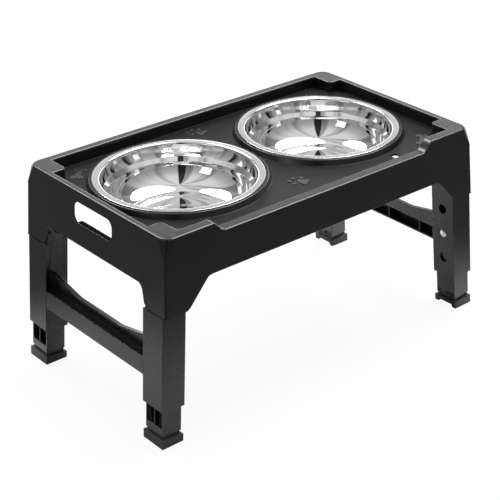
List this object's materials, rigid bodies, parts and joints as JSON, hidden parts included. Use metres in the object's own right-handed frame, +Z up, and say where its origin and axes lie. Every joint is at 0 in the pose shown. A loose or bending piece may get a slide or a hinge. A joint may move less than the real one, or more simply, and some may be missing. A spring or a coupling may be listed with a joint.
{
  "type": "dog feeder stand",
  "caption": "Raised dog feeder: moulded tray with handle slots holds steel bowls on H-frame legs that fold under it, with sliding feet set in height by snap buttons.",
  "frame": {"origin": "on the ground, below the middle of the stand", "axes": "+X along the length, through both bowls; +Y from the dipped front rim to the back; +Z up"},
  "size_m": [0.4534, 0.2464, 0.228],
  "materials": {
    "black_plastic": "satin moulded polypropylene, fine grain",
    "black_rubber": "matte moulded foot cap",
    "polished_steel": "polished stainless steel with a satin flange",
    "spring_steel": "plain bright strip",
    "black_steel": "black oxide"
  },
  "bodies": {
    "tray": {"tray": "black_plastic", "hinge_pin_front_left": "black_steel", "hinge_pin_front_right": "black_steel", "hinge_pin_back_left": "black_steel", "hinge_pin_back_right": "black_steel"},
    "bowl_left": {"bowl_left": "polished_steel"},
    "bowl_right": {"bowl_right": "polished_steel"},
    "leg_frame_left": {"leg_frame_left": "black_plastic"},
    "leg_frame_right": {"leg_frame_right": "black_plastic"},
    "sliding_leg_front_left": {"inner_leg_front_left": "black_plastic", "foot_cap_front_left": "black_rubber"},
    "snap_clip_front_left": {"snap_clip_front_left": "spring_steel"},
    "sliding_leg_front_right": {"inner_leg_front_right": "black_plastic", "foot_cap_front_right": "black_rubber"},
    "snap_clip_front_right": {"snap_clip_front_right": "spring_steel"},
    "sliding_leg_back_left": {"inner_leg_back_left": "black_plastic", "foot_cap_back_left": "black_rubber"},
    "snap_clip_back_left": {"snap_clip_back_left": "spring_steel"},
    "sliding_leg_back_right": {"inner_leg_back_right": "black_plastic", "foot_cap_back_right": "black_rubber"},
    "snap_clip_back_right": {"snap_clip_back_right": "spring_steel"}
  },
  "joints": [
    {"name": "fold_left", "type": "hinge", "parent": "tray", "child": "leg_frame_left", "pos_m": [-0.20108, 0, 0.16125], "axis": [0, -1, 0], "range_deg": [0, 94.4]},
    {"name": "fold_right", "type": "hinge", "parent": "tray", "child": "leg_frame_right", "pos_m": [0.20108, 0, 0.16125], "axis": [0, 1, 0], "range_deg": [0, 94.4]},
    {"name": "height_front_left", "type": "slide", "parent": "leg_frame_left", "child": "sliding_leg_front_left", "axis": [-0.0767, -0.0201, -0.9969], "range_m": [-0.0315, 0.0315], "deforming": ["snap_clip_front_left"]},
    {"name": "press_front_left", "type": "slide", "parent": "sliding_leg_front_left", "child": "snap_clip_front_left", "axis": [-0.9971, 0, 0.0767], "range_m": [0, 0.005], "stiffness_N_per_m": 1500, "springref_m": -0.002, "deforming": ["snap_clip_front_left"]},
    {"name": "height_front_right", "type": "slide", "parent": "leg_frame_right", "child": "sliding_leg_front_right", "axis": [0.0767, -0.0201, -0.9969], "range_m": [-0.0315, 0.0315], "deforming": ["snap_clip_front_right"]},
    {"name": "press_front_right", "type": "slide", "parent": "sliding_leg_front_right", "child": "snap_clip_front_right", "axis": [0.9971, 0, 0.0767], "range_m": [0, 0.005], "stiffness_N_per_m": 1500, "springref_m": -0.002, "deforming": ["snap_clip_front_right"]},
    {"name": "height_back_left", "type": "slide", "parent": "leg_frame_left", "child": "sliding_leg_back_left", "axis": [-0.0767, 0.0201, -0.9969], "range_m": [-0.0315, 0.0315], "deforming": ["snap_clip_back_left"]},
    {"name": "press_back_left", "type": "slide", "parent": "sliding_leg_back_left", "child": "snap_clip_back_left", "axis": [-0.9971, 0, 0.0767], "range_m": [0, 0.005], "stiffness_N_per_m": 1500, "springref_m": -0.002, "deforming": ["snap_clip_back_left"]},
    {"name": "height_back_right", "type": "slide", "parent": "leg_frame_right", "child": "sliding_leg_back_right", "axis": [0.0767, 0.0201, -0.9969], "range_m": [-0.0315, 0.0315], "deforming": ["snap_clip_back_right"]},
    {"name": "press_back_right", "type": "slide", "parent": "sliding_leg_back_right", "child": "snap_clip_back_right", "axis": [0.9971, 0, 0.0767], "range_m": [0, 0.005], "stiffness_N_per_m": 1500, "springref_m": -0.002, "deforming": ["snap_clip_back_right"]},
    {"name": "lift_bowl_left", "type": "slide", "parent": "tray", "child": "bowl_left", "axis": [0, 0, 1], "range_m": [0, 0.08]},
    {"name": "lift_bowl_right", "type": "slide", "parent": "tray", "child": "bowl_right", "axis": [0, 0, 1], "range_m": [0, 0.08]}
  ]
}
